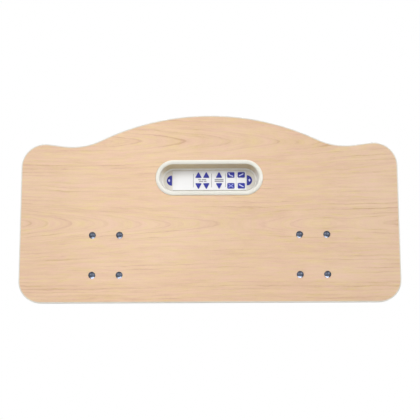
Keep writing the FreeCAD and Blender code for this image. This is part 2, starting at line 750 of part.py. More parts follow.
def make_faceplate():
    plateau = plate(stadium(FACE_RADIUS, RECESS_DEPTH), FACE_THICKNESS)
    flange = plate(stadium(FACE_FLANGE_RADIUS, SEAT_Y), FACE_FLANGE_THICKNESS)
    hollow = plate(stadium(FACE_HOLLOW_RADIUS, SEAT_Y), FACE_FLANGE_THICKNESS)
    pieces = [plateau, flange.cut(hollow)]
    for x, z in board_post_spots():
        pieces.append(rod(x, z, BOARD_POST_RADIUS, SEAT_Y, CIRCUIT_Y))
    body = fuse(pieces)
    cuts = key_windows(KEY_CLEARANCE, RECESS_DEPTH, FACE_THICKNESS)
    cuts.append(plate(label_outline(LABEL_CLEARANCE, RECESS_DEPTH), LABEL_THICKNESS))
    for x, z in board_post_spots():
        pilot = SCREW_RADIUS + THREAD_CLEARANCE
        cuts.append(rod(x, z, pilot, CIRCUIT_Y - CIRCUIT_SCREW_ENTRY - SCREW_TIP_GAP, CIRCUIT_Y))
    return body.cut(cuts)


def make_label():
    body = plate(label_outline(0, RECESS_DEPTH), LABEL_THICKNESS)
    return body.cut(key_windows(KEY_CLEARANCE, RECESS_DEPTH, LABEL_THICKNESS))


def make_circuit_board():
    body = plate(stadium(CIRCUIT_RADIUS, CIRCUIT_Y), CIRCUIT_THICKNESS)
    holes = []
    for x, z in board_post_spots():
        holes.append(rod(x, z, SCREW_RADIUS + SCREW_CLEARANCE, CIRCUIT_Y, CIRCUIT_BACK_Y))
    return body.cut(holes)


def make_chip():
    corner = front_point((HEAD_COLUMN + CHIP_SIZE / 2, RECESS_HEIGHT - CHIP_SIZE / 2), CIRCUIT_BACK_Y)
    return Part.makeBox(CHIP_SIZE, CHIP_HEIGHT, CHIP_SIZE, corner)


def make_header():
    """The plug socket on the circuit board, open at its back."""
    x = GLAND_OFFSET - HEADER_LENGTH / 2
    z = RECESS_HEIGHT - HEADER_OFFSET - HEADER_WIDTH / 2
    body = Part.makeBox(HEADER_LENGTH, HEADER_HEIGHT, HEADER_WIDTH, front_point((x, z), CIRCUIT_BACK_Y))
    inside = Part.makeBox(
        HEADER_LENGTH - 2 * HEADER_WALL,
        HEADER_HEIGHT - HEADER_WALL,
        HEADER_WIDTH - 2 * HEADER_WALL,
        front_point((x + HEADER_WALL, z + HEADER_WALL), CIRCUIT_BACK_Y + HEADER_WALL),
    )
    return body.cut(inside)


def small_screw(x, z, seat_y, entry):
    """A slotted screw whose head bears on a seat from behind, with its shank in front."""
    head = rod(x, z, SCREW_HEAD_RADIUS, seat_y, seat_y + SCREW_HEAD_HEIGHT)
    shank = rod(x, z, SCREW_RADIUS, seat_y - entry, seat_y)
    slot = Part.makeBox(
        2 * SCREW_HEAD_RADIUS,
        SLOT_DEPTH,
        SLOT_WIDTH,
        front_point(
            (x - SCREW_HEAD_RADIUS, z - SLOT_WIDTH / 2), seat_y + SCREW_HEAD_HEIGHT - SLOT_DEPTH
        ),
    )
    return head.fuse(shank).cut(slot)


def make_circuit_screws():
    screws = []
    for x, z in board_post_spots():
        screws.append(small_screw(x, z, CIRCUIT_BACK_Y, CIRCUIT_THICKNESS + CIRCUIT_SCREW_ENTRY))
    return Part.makeCompound(screws)


# Rear cover and cable gland


def gland_axis_y():
    return (COVER_Y + COVER_BACK_Y - COVER_WALL) / 2


def cover_bottom():
    return RECESS_HEIGHT - REAR_FLANGE_RADIUS


def rib_places():
    """The places in x of the cover's cross ribs, clear of the parts on the circuit board."""
    return [-HALF_LABEL + LABEL_END_BORDER, HEAD_COLUMN, HALF_LABEL - LABEL_END_BORDER]


def make_rear_cover():
    outer = plate(stadium(REAR_FLANGE_RADIUS, COVER_Y), COVER_DEPTH)
    back_edges = []
    for edge in outer.Edges:
        if edge.BoundBox.YMin > COVER_BACK_Y - COVER_WALL / 10:
            back_edges.append(edge)
    outer = outer.makeFillet(COVER_EDGE_RADIUS, back_edges)
    inner_radius = REAR_FLANGE_RADIUS - COVER_WALL
    shell = outer.cut(plate(stadium(inner_radius, COVER_Y), COVER_DEPTH - COVER_WALL))
    pieces = [shell]
    for x, z in cover_screw_spots():
        post = rod(x, z, SCREW_POST_RADIUS, COVER_Y, COVER_BACK_Y)
        pieces.append(post.common(outer))
    rib_y = CIRCUIT_BACK_Y + RIB_GAP
    for x in rib_places():
        corner = front_point((x - RIB_THICKNESS / 2, RECESS_HEIGHT - RIB_LENGTH / 2), rib_y)
        pieces.append(Part.makeBox(RIB_THICKNESS, COVER_BACK_Y - COVER_WALL / 2 - rib_y, RIB_LENGTH, corner))
    body = fuse(pieces)
    cuts = []
    for x, z in cover_screw_spots():
        cuts.append(rod(x, z, SCREW_RADIUS + SCREW_CLEARANCE, COVER_Y, COVER_BACK_Y))
        cuts.append(rod(x, z, SCREW_HEAD_BORE, COVER_BACK_Y - COVER_BORE_DEPTH, COVER_BACK_Y))
    hole_start = FreeCAD.Vector(GLAND_OFFSET, gland_axis_y(), cover_bottom() - COVER_WALL)
    cuts.append(Part.makeCylinder(GLAND_NECK_RADIUS + GLAND_SEAT, 3 * COVER_WALL, hole_start, ALONG_Z))
    return body.cut(cuts)


def make_cover_screws():
    screws = []
    for x, z in cover_screw_spots():
        seat_y = COVER_BACK_Y - COVER_BORE_DEPTH
        screws.append(small_screw(x, z, seat_y, seat_y - COVER_Y + SCREW_ENTRY))
    return Part.makeCompound(screws)


def make_gland():
    """A rubber ring that grips the wall of the cover between two flanges."""
    wall_low = cover_bottom()
    wall_high = wall_low + COVER_WALL
    spots = [
        (GLAND_BORE_RADIUS, wall_low - GLAND_FLANGE_THICKNESS),
        (GLAND_FLANGE_RADIUS, wall_low - GLAND_FLANGE_THICKNESS),
        (GLAND_FLANGE_RADIUS, wall_low),
        (GLAND_NECK_RADIUS, wall_low),
        (GLAND_NECK_RADIUS, wall_high),
        (GLAND_FLANGE_RADIUS, wall_high),
        (GLAND_BORE_RADIUS, wall_high + GLAND_FLANGE_THICKNESS),
    ]
    axis = FreeCAD.Vector(GLAND_OFFSET, gland_axis_y(), 0)
    corners = []
    for distance, z in spots:
        corners.append(axis + FreeCAD.Vector(distance, 0, z))
    profile = Part.Face(Part.makePolygon(corners + [corners[0]]))
    return profile.revolve(axis, ALONG_Z, 360)


# Post sockets


def hat_outline(z):
    """The bent sheet of a post socket in plan view: two wings and a pocket between them."""
    inner = POCKET_WIDTH / 2
    outer = POCKET_SIDE
    tip = WING_TIP
    front = BOARD_THICKNESS
    wing = WING_BACK_Y
    back = SOCKET_BACK_Y
    floor = back - SHEET_THICKNESS
    inside = SHEET_BEND_RADIUS
    outside = SHEET_BEND_RADIUS + SHEET_THICKNESS
    right = [
        (inner, floor, inside),
        (inner, front, outside),
        (tip, front, 0),
        (tip, wing, 0),
        (outer, wing, inside),
        (outer, back, outside),
    ]
    left = []
    for x, y, radius in reversed(right):
        left.append((-x, y, radius))
    return rounded_path(right + left, top_point, z)


def stop_tab():
    """The strip of the socket's back that folds forward over the pocket as a stop."""
    back = SOCKET_BACK_Y
    floor = back - SHEET_THICKNESS
    inside = SHEET_BEND_RADIUS
    outside = SHEET_BEND_RADIUS + SHEET_THICKNESS
    low = SOCKET_TOP - outside - 2 * TAB_RELIEF
    under = SOCKET_TOP - SHEET_THICKNESS
    tip = BOARD_THICKNESS + TAB_CLEARANCE
    corners = [
        (floor, low, 0),
        (back, low, 0),
        (back, SOCKET_TOP, outside),
        (tip, SOCKET_TOP, 0),
        (tip, under, 0),
        (floor, under, inside),
    ]
    outline = rounded_path(corners, side_point, -TAB_WIDTH / 2)
    return Part.Face(outline).extrude(ALONG_X * TAB_WIDTH)


def make_socket(side):
    hat_height = SOCKET_TOP - SHEET_BEND_RADIUS - SHEET_THICKNESS - TAB_RELIEF - SOCKET_BOTTOM
    hat = Part.Face(hat_outline(SOCKET_BOTTOM)).extrude(ALONG_Z * hat_height)
    tips = []
    for edge in hat.Edges:
        box = edge.BoundBox
        across = box.XMax - box.XMin + box.ZMax - box.ZMin
        if across < SHEET_THICKNESS / 10 and abs(abs(box.XMax) - WING_TIP) < SHEET_THICKNESS / 10:
            tips.append(edge)
    hat = hat.makeFillet(WING_CORNER_RADIUS, tips)
    body = fuse([hat, stop_tab()])
    cuts = [rod(0, LOCK_HEIGHT, LOCK_HOLE_RADIUS, BOARD_THICKNESS, SOCKET_BACK_Y)]
    hole_radius = MACHINE_SCREW_RADIUS + MACHINE_HOLE_CLEARANCE
    for across in (-1, 1):
        for up in (-1, 1):
            x = across * BOLT_OFFSET_X
            z = LOCK_HEIGHT + up * BOLT_OFFSET_Z
            cuts.append(rod(x, z, hole_radius, BOARD_THICKNESS, WING_BACK_Y))
    return body.cut(cuts).translated(ALONG_X * (side * SOCKET_SPACING / 2))


# Bolts


def make_barrel_nut(x, z):
    """A sleeve through the board with a smooth domed head on the front."""
    rise = BOLT_HEAD_HEIGHT - BOLT_HEAD_EDGE
    sphere_radius = (BOLT_HEAD_RADIUS ** 2 + rise ** 2) / (2 * rise)
    half_angle = math.asin(BOLT_HEAD_RADIUS / sphere_radius) / 2
    sleeve_end = BOARD_THICKNESS - SLEEVE_SHORTFALL

    def place(distance, y):
        return FreeCAD.Vector(x + distance, y, z)

    top = place(0, -BOLT_HEAD_HEIGHT)
    crest = place(
        sphere_radius * math.sin(half_angle),
        sphere_radius - BOLT_HEAD_HEIGHT - sphere_radius * math.cos(half_angle),
    )
    edge = place(BOLT_HEAD_RADIUS, -BOLT_HEAD_EDGE)
    bore_radius = MACHINE_SCREW_RADIUS + MACHINE_THREAD_CLEARANCE
    turns = [
        edge,
        place(BOLT_HEAD_RADIUS, 0),
        place(SLEEVE_RADIUS, 0),
        place(SLEEVE_RADIUS, sleeve_end),
        place(bore_radius, sleeve_end),
        place(bore_radius, SLEEVE_FLOOR),
        place(0, SLEEVE_FLOOR),
        top,
    ]
    edges = [Part.Arc(top, crest, edge).toShape()]
    for start, end in zip(turns, turns[1:]):
        edges.append(Part.LineSegment(start, end).toShape())
    return Part.Face(Part.Wire(edges)).revolve(place(0, 0), ALONG_Y, 360)


def make_machine_screw(x, z):
    seat_y = WING_BACK_Y + WASHER_THICKNESS
    end_y = seat_y + MACHINE_HEAD_HEIGHT
    head = rod(x, z, MACHINE_HEAD_RADIUS, seat_y, end_y)
    rim = []
    for edge in head.Edges:
        if edge.BoundBox.YMin > end_y - MACHINE_HEAD_ARRIS / 10:
            rim.append(edge)
    head = head.makeChamfer(MACHINE_HEAD_ARRIS, rim)
    tip_y = BOARD_THICKNESS - SLEEVE_SHORTFALL - MACHINE_SCREW_ENTRY
    shank = rod(x, z, MACHINE_SCREW_RADIUS, tip_y, seat_y)
    corners = []
    for i in range(7):
        angle = math.radians(60 * i)
        spot = (x + HEX_RADIUS * math.cos(angle), z + HEX_RADIUS * math.sin(angle))
        corners.append(front_point(spot, end_y - HEX_DEPTH))
    socket = plate(Part.makePolygon(corners), HEX_DEPTH)
    return head.fuse(shank).cut(socket)


def make_washer(x, z):
    hole_radius = MACHINE_SCREW_RADIUS + MACHINE_HOLE_CLEARANCE
    ring = rod(x, z, WASHER_RADIUS, WING_BACK_Y, WING_BACK_Y + WASHER_THICKNESS)
    return ring.cut(rod(x, z, hole_radius, WING_BACK_Y, WING_BACK_Y + WASHER_THICKNESS))


def at_each_bolt(make):
    """One group of like pieces, one at each of the eight bolts."""
    return Part.makeCompound([make(x, z) for x, z in all_bolt_spots()])


os.makedirs("parts", exist_ok=True)

save("board", make_board())
save("edge_band", make_edge_band())
save("recess_pan", make_recess_pan())
save("faceplate", make_faceplate())
save("overlay_label", make_label())
for key_name, key_outline, key_x, key_z, key_way, key_switch_x in key_table():
    place_name = key_name.replace("_key", "")
    save(key_name, make_key(key_outline, key_x, key_z, key_way, key_switch_x))
    save(place_name + "_plunger", make_plunger(key_switch_x, key_z))
    save(place_name + "_switch", make_switch(key_switch_x, key_z))
save("circuit_board", make_circuit_board())
save("controller_chip", make_chip())
save("cable_header", make_header())
save("circuit_screws", make_circuit_screws())
save("rear_cover", make_rear_cover())
save("cover_screws", make_cover_screws())
save("cable_gland", make_gland())
save("left_post_socket", make_socket(-1))
save("right_post_socket", make_socket(1))
save("barrel_nuts", at_each_bolt(make_barrel_nut))
save("socket_screws", at_each_bolt(make_machine_screw))
save("washers", at_each_bolt(make_washer))
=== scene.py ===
import math

import bmesh
import bpy
from mathutils import Matrix, Vector


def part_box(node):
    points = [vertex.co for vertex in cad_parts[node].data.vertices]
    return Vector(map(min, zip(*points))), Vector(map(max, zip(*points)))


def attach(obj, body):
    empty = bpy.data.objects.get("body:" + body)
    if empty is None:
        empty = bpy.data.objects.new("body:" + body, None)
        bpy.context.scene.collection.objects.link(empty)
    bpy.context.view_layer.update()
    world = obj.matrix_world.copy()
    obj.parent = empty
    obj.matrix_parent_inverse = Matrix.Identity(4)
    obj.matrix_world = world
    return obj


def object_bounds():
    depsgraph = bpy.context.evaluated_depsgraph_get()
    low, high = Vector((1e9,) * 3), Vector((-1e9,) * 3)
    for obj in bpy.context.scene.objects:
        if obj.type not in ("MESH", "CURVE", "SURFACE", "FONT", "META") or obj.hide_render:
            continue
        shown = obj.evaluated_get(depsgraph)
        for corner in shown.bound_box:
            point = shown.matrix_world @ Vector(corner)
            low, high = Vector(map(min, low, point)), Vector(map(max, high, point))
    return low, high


# A head panel of a hospital bed: a wood-look laminated board with a recessed control module.
# Lengths are in metres. X runs to the right as seen from the front, Y runs from the front to
# the back and Z runs up. Colours are written as they show on a screen, from 0 to 255.

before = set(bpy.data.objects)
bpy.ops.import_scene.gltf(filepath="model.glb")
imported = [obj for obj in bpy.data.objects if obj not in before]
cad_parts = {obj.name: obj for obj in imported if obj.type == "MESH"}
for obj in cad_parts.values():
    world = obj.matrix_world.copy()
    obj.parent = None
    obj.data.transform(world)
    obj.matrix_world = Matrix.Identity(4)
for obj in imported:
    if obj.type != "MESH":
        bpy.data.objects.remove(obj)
cad_low, cad_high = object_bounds()

# Camera: it stands low in front of the panel and looks up at it. Its turns are in degrees.
IMAGE_SIDE = 420
PIXELS_PER_METRE = 414.4
CAMERA_DISTANCE = 2.4
CAMERA_TURNS = {"yaw": -0.523, "pitch": -9.306, "roll": -0.19}
AIM_HEIGHT = 0.223
AIM_SHIFT = (-0.0015, 0.00015)
SENSOR_WIDTH = 36.0

# Lamps: strength in watts, place and size. One with glints is only seen mirrored in those
# nodes.
LAMPS = {
    "front_lamp": {"power": 19.5, "place": (0.2, -2.8, 1.8), "size": (3.0, 1.3)},
    "right_lamp": {"power": 41.0, "place": (1.9, -2.4, 1.1), "size": (1.2, 1.5)},
    "left_lamp": {"power": 38.0, "place": (-1.9, -2.4, 1.1), "size": (1.2, 1.5)},
    "fill_lamp": {"power": 8.5, "place": (0.0, -3.2, 0.25), "size": (2.6, 1.2)},
    "rear_lamp": {"power": 40.0, "place": (0.4, 1.7, 1.3), "size": (1.5, 1.0)},
    "top_glint": {
        "power": 38.0, "place": (0.0, -0.5, 2.3), "size": (2.4, 0.5), "glints": ["recess_pan"]},
    "low_glint": {
        "power": 26.0, "place": (0.0, -0.2, -0.6), "size": (1.0, 0.3), "aim": (0.0, -0.1, 0.1),
        "glints": ["barrel_nuts"]},
}
LAMP_AIM = (0.0, 0.0, 0.1)
AMBIENT = 0.03

# Floor: as far below the panel as it would be on a bed
FLOOR_COLOUR = (222, 222, 222)
FLOOR_DROP = 0.52
FLOOR_RADIUS = 2.3
FLOOR_FADE_START = 0.9
FLOOR_SEGMENTS = 96

# Grain of the laminate. It is drawn as if cut from a log with two hearts that lie behind the
# face, one above the other. Each has a height, a power that shapes its flames, which are more
# pointed for a lower one, and a depth at places along the board.
UPPER_AXIS = 0.2786
UPPER_POWER = 1.7
UPPER_DEPTHS = [
    (cad_low.x, 0.004), (-0.25, 0.0105), (-0.16, 0.017), (-0.04, 0.0266), (0.096, 0.037),
    (0.25, 0.047), (cad_high.x, 0.055)]
LOWER_AXIS = 0.0746
LOWER_POWER = 2.0
LOWER_DEPTHS = [
    (cad_low.x, 0.001), (-0.236, 0.0346), (0.007, 0.046), (0.075, 0.047), (0.133, 0.046),
    (0.198, 0.0426), (0.270, 0.0402), (0.320, 0.0413), (0.380, 0.0402), (cad_high.x, 0.039)]
DEPTH_LIMIT = 0.06
RING_PITCH = 0.0085
SWAY = 0.011
WAVER = 0.0042

# Between these distances from a heart's height its strong lines fade, and between these from
# the lower heart extra rings crowd in
NEAR_AXIS = (0.004, 0.034)
CROWDING = (0.036, 0.048)
CROWDED_RINGS = 1.6

# How dark the laminate is across one ring, and from the foot of the board to its top, with
# bands of grain and, towards the top, painted shade; how much each kind of grain and that
# shade add; and the painted shade that makes its grey change from the left side to the right
RING_CURVE = [
    (0.0, 0.6), (0.06, 0.2), (0.25, 0.04), (0.6, 0.12), (0.84, 0.45), (0.93, 1.0), (1.0, 0.6)]
BAND_AND_SHADE_CURVE = [
    (0.0, 0.1), (0.03, 0.65), (0.055, 0.2), (0.08, 0.5), (0.12, 0.0), (0.2, 0.0), (0.42, 0.0),
    (0.475, 0.5), (0.51, 0.1), (0.55, 0.0), (0.7, 0.15), (0.78, 0.3), (0.88, 0.6), (1.0, 0.7)]
STRONG_SHARE = 0.46
FINE_SHARE = 0.22
STREAK_SHARE = 0.4
BROAD_SHARE = 0.2
BAND_AND_SHADE_SHARE = 0.22
SIDE_SHADE_GREYS = [
    (0.0, 249), (0.1, 251), (0.22, 255), (0.34, 255), (0.42, 253), (0.53, 249), (0.75, 245),
    (1.0, 238)]

# Colours of the laminate: from pale to dark wood, tints that multiply them, and the flecks
WOOD_TONES = [
    (0.0, (250, 221, 193)), (0.35, (245, 215, 183)), (0.65, (237, 205, 172)),
    (1.0, (216, 176, 146))]
HUE_TINTS = [(0.0, (255, 247, 255)), (0.5, (254, 250, 248)), (1.0, (253, 254, 233))]
PATCH_TINT = (232, 201, 180)
FLECK_TONE = (186, 142, 108)

# The pan, and its inner wall: where the wall starts and ends behind the rim's front, and how
# far below the pan's top its painted shade is at its fullest. The inner wall and its ledge are
# whitened as a painted highlight, and the upper wall is tan where it faces down as painted shade
PAN_ROUGHNESS = 0.3
PAINTED_WALL_HIGHLIGHT = (251, 250, 245)
WALL_START = (0.001, 0.005)
WALL_END = (0.034, 0.038)
PAINTED_SHADE_TONE = (211, 190, 148)
PAINTED_SHADE_DROP = 0.012

# Print on the label and the keys, a little proud of its face and a little sunk in it
PRINT_LIFT = 0.00006
PRINT_SINK = 0.00003

# Marks on the label. Dividers have places along the panel. Bars stand for the words between
# the arrow keys: start, end and rise from the middle of four keys, or a reach to both sides.
DIVIDER_PLACES = (-0.0394, 0.005, 0.0395)
DIVIDER_WIDTH = 0.0011
DIVIDER_HALF_HEIGHT = 0.0166
THIN_DIVIDER_PLACE = 0.0659
THIN_DIVIDER_WIDTH = 0.0009
# A painted shadow: a dark line on the faceplate just under the label
SHADOW_LINE_INSET = 0.001
SHADOW_LINE_DROP = 0.0009
SHADOW_LINE_WIDTH = 0.0011
WORD_BARS = (
    (-0.0095, -0.0042, 0.0021), (-0.0006, 0.0084, 0.0021), (-0.0072, 0.0012, -0.0021),
    (0.0048, 0.0092, -0.0021))
WORD_BAR_WIDTH = 0.0024
HEIGHT_BAR_REACH = 0.0098
HEIGHT_BAR_RISES = (-0.0021, 0.0021)
HEIGHT_BAR_WIDTH = 0.0029

# Marks on the keys: points (x, z) from the middle of the key
CHAIR_LINE = [(-0.0052, 0.0042), (-0.0030, -0.0004), (-0.0012, -0.0016), (0.0056, -0.0040)]
HEAD_TILT_LINE = [(-0.0046, -0.0022), (0.0046, 0.0024)]
FOOT_TILT_LINE = [(-0.0046, 0.0026), (0.0046, -0.0024)]
LINE_WIDTH = 0.0024
CROSS_HALF_SIZE = (0.0054, 0.0039)
CROSS_WIDTH = 0.0022
END_MARK_HALF_SIZE = (0.0022, 0.0034)
LEFT_END_SHIFT = -0.0006
HALF_ROUND_STEPS = 6
OVAL_STEPS = 32


def linear(colour):
    """A colour of 0 to 255 as the renderer's linear values, opaque."""
    values = []
    for part in colour:
        share = part / 255.0
        if share <= 0.04045:
            values.append(share / 12.92)
        else:
            values.append(((share + 0.055) / 1.055) ** 2.4)
    return (*values, 1.0)


def darker(colour, step):
    """A colour of 0 to 255 with each part lowered by a step."""
    return tuple(max(part - step, 0) for part in colour)


class Nodes:
    """A node tree whose nodes are made and linked by short calls."""

    def __init__(self, tree):
        self.tree = tree

    def add(self, kind, inputs=None, **settings):
        """A new node with its settings made and its inputs linked or set."""
        node = self.tree.nodes.new("ShaderNode" + kind)
        for name, value in settings.items():
            setattr(node, name, value)
        for name, value in (inputs or {}).items():
            self.feed(node.inputs[name], value)
        return node

    def feed(self, socket, value):
        """Link a socket to another node's output, or give it a fixed value."""
        if isinstance(value, bpy.types.NodeSocket):
            self.tree.links.new(value, socket)
        else:
            socket.default_value = value

    def calc(self, operation, *values):
        """The result of a sum on numbers."""
        node = self.add("Math", operation=operation)
        for socket, value in zip(node.inputs, values):
            self.feed(socket, value)
        return node.outputs[0]

    def spread(self, value, low, high, to_low=0.0, to_high=1.0, smooth=False):
        """A number carried from one range to another, and held at its ends."""
        inputs = {
            "Value": value, "From Min": low, "From Max": high, "To Min": to_low,
            "To Max": to_high}
        shape = "SMOOTHSTEP" if smooth else "LINEAR"
        node = self.add("MapRange", inputs, clamp=True, interpolation_type=shape)
        return node.outputs["Result"]


class Recipe(Nodes):
    """A material whose texture follows the object's own coordinates."""

    def __init__(self, name, roughness=0.5, metallic=0.0, specular=0.5):
        self.material = bpy.data.materials.new(name)
        self.material.use_nodes = True
        super().__init__(self.material.node_tree)
        self.shader = self.tree.nodes["Principled BSDF"]
        self.shader.inputs["Roughness"].default_value = roughness
        self.shader.inputs["Metallic"].default_value = metallic
        self.shader.inputs["Specular IOR Level"].default_value = specular
        self.place = self.add("TexCoord").outputs["Object"]

    def axes(self):
        """The object's own coordinates as three numbers."""
        return self.add("SeparateXYZ", {"Vector": self.place}).outputs

    def stretched(self, scale, shift=(0.0, 0.0, 0.0)):
        """The object's own coordinates, scaled by axis."""
        node = self.add("Mapping", {"Vector": self.place, "Scale": scale, "Location": shift})
        return node.outputs[0]

    def noise_at(self, place, detail, roughness):
        """Noise around 0.5 at a place, with one feature to each unit of it."""
        node = self.add("TexNoise", {
            "Vector": place, "Scale": 1.0, "Detail": detail, "Roughness": roughness})
        return node.outputs["Fac"]

    def noise(self, scale, detail=2.0, roughness=0.5, shift=(0.0, 0.0, 0.0)):
        """Noise with a number of features in a metre, the same on all axes or one for each."""
        if isinstance(scale, float):
            scale = (scale, scale, scale)
        return self.noise_at(self.stretched(scale, shift), detail, roughness)

    def curve(self, value, points):
        """A smooth curve through points, for a number from 0 to 1."""
        node = self.add("FloatCurve", {"Value": value})
        line = node.mapping.curves[0]
        line.points[0].location = points[0]
        line.points[1].location = points[-1]
        for spot in points[1:-1]:
            line.points.new(*spot)
        node.mapping.update()
        return node.outputs[0]

    def ramp(self, value, stops):
        """Colours along a number: (place, colour) from low to high."""
        node = self.add("ValToRGB", {"Fac": value})
        parts = node.color_ramp.elements
        while len(parts) < len(stops):
            parts.new(0.5)
        for part, (spot, colour) in zip(parts, stops):
            part.position = spot
            part.color = linear(colour)
        return node.outputs["Color"]

    def blend(self, share, first, second, mode="MIX"):
        """Two colours mixed by a share of the second."""
        node = self.add("Mix", data_type="RGBA", blend_type=mode)
        self.feed(node.inputs["Factor"], share)
        colours = [socket for socket in node.inputs if socket.type == "RGBA"]
        self.feed(colours[0], first)
        self.feed(colours[1], second)
        return [socket for socket in node.outputs if socket.type == "RGBA"][0]

    def colour(self, value):
        self.feed(self.shader.inputs["Base Color"], value)

    def roughness(self, value):
        self.feed(self.shader.inputs["Roughness"], value)

    def bump(self, height, distance, strength):
        node = self.add("Bump", {"Strength": strength, "Distance": distance, "Height": height})
        self.feed(self.shader.inputs["Normal"], node.outputs["Normal"])

    def sparked(self, roughness, grain=2400.0, depth=0.00004):
        """The fine texture of a spark-eroded mould."""
        texture = self.noise(grain, detail=2.0, roughness=0.7)
        self.roughness(self.spread(texture, 0.3, 0.7, roughness - 0.04, roughness + 0.05))
        self.bump(texture, depth, strength=0.5)


def waved(recipe, z):
    """Heights on the board, swayed a little, because no line of grain runs quite straight."""
    sway = recipe.noise((2.6, 0.0, 9.0), detail=2.0)
    waver = recipe.noise((16.0, 0.0, 60.0), detail=4.0, roughness=0.6, shift=(3.0, 0.0, 1.0))
    sway = recipe.spread(sway, 0.0, 1.0, -SWAY, SWAY)
    waver = recipe.spread(waver, 0.0, 1.0, -WAVER, WAVER)
    return recipe.calc("ADD", recipe.calc("ADD", z, sway), waver)


def off_axis(recipe, height, axis):
    """How far a height is from a heart's."""
    return recipe.calc("ABSOLUTE", recipe.calc("SUBTRACT", height, axis))


def heart_distance(recipe, side, height, axis, depths, power):
    """The distance from a heart. Its lines of equal value are the flames."""
    width = cad_high.x - cad_low.x
    points = [((spot - cad_low.x) / width, depth / DEPTH_LIMIT) for spot, depth in depths]
    depth_here = recipe.calc("MULTIPLY", recipe.curve(side, points), DEPTH_LIMIT)
    across = recipe.calc("POWER", off_axis(recipe, height, axis), power)
    below = recipe.calc("POWER", depth_here, power)
    return recipe.calc("POWER", recipe.calc("ADD", across, below), 1.0 / power)


def ring_count(recipe, side, height):
    """How many rings lie between the nearer heart and a place, with parts of a ring."""
    upper = heart_distance(recipe, side, height, UPPER_AXIS, UPPER_DEPTHS, UPPER_POWER)
    lower = heart_distance(recipe, side, height, LOWER_AXIS, LOWER_DEPTHS, LOWER_POWER)
    is_upper = recipe.calc("GREATER_THAN", height, (UPPER_AXIS + LOWER_AXIS) / 2)
    crowded = recipe.spread(lower, *CROWDING, 0.0, CROWDED_RINGS, smooth=True)
    rings_below = recipe.calc("ADD", recipe.calc("DIVIDE", lower, RING_PITCH), crowded)
    rings_above = recipe.calc("DIVIDE", upper, RING_PITCH)
    step = recipe.calc("SUBTRACT", rings_above, rings_below)
    return recipe.calc("MULTIPLY_ADD", step, is_upper, rings_below)


def strong_lines(recipe, rings, height):
    """A dark line for each ring, which comes and goes but stays near a heart's height."""
    line = recipe.curve(recipe.calc("FRACT", rings), RING_CURVE)
    strength = recipe.noise((3.0, 0.0, 30.0), detail=3.0, shift=(7.0, 0.0, 2.0))
    off_upper = off_axis(recipe, height, UPPER_AXIS)
    off_lower = off_axis(recipe, height, LOWER_AXIS)
    off_nearer = recipe.calc("MINIMUM", off_upper, off_lower)
    near_axis = recipe.spread(off_nearer, *NEAR_AXIS, 0.5, 0.0, smooth=True)
    strength = recipe.calc("MAXIMUM", recipe.spread(strength, 0.42, 0.7, 0.08, 1.0), near_axis)
    return recipe.calc("MULTIPLY", line, strength)


def fine_lines(recipe, rings):
    """Three faint lines for each ring, which come and go."""
    thirds = recipe.calc("MULTIPLY", rings, 3.0)
    line = recipe.curve(recipe.calc("FRACT", thirds), RING_CURVE)
    strength = recipe.noise((6.0, 0.0, 60.0), detail=3.0, shift=(1.0, 0.0, 5.0))
    return recipe.calc("MULTIPLY", line, recipe.spread(strength, 0.35, 0.65))


def streaks(recipe, rings, x, across, along, detail, roughness, seed):
    """Noise from 0 to 1 that follows the rings, drawn out along the board."""
    place = recipe.add("CombineXYZ", {
        "X": recipe.calc("MULTIPLY", rings, across), "Y": recipe.calc("MULTIPLY", x, along),
        "Z": seed})
    return recipe.spread(recipe.noise_at(place.outputs[0], detail, roughness), 0.34, 0.66)


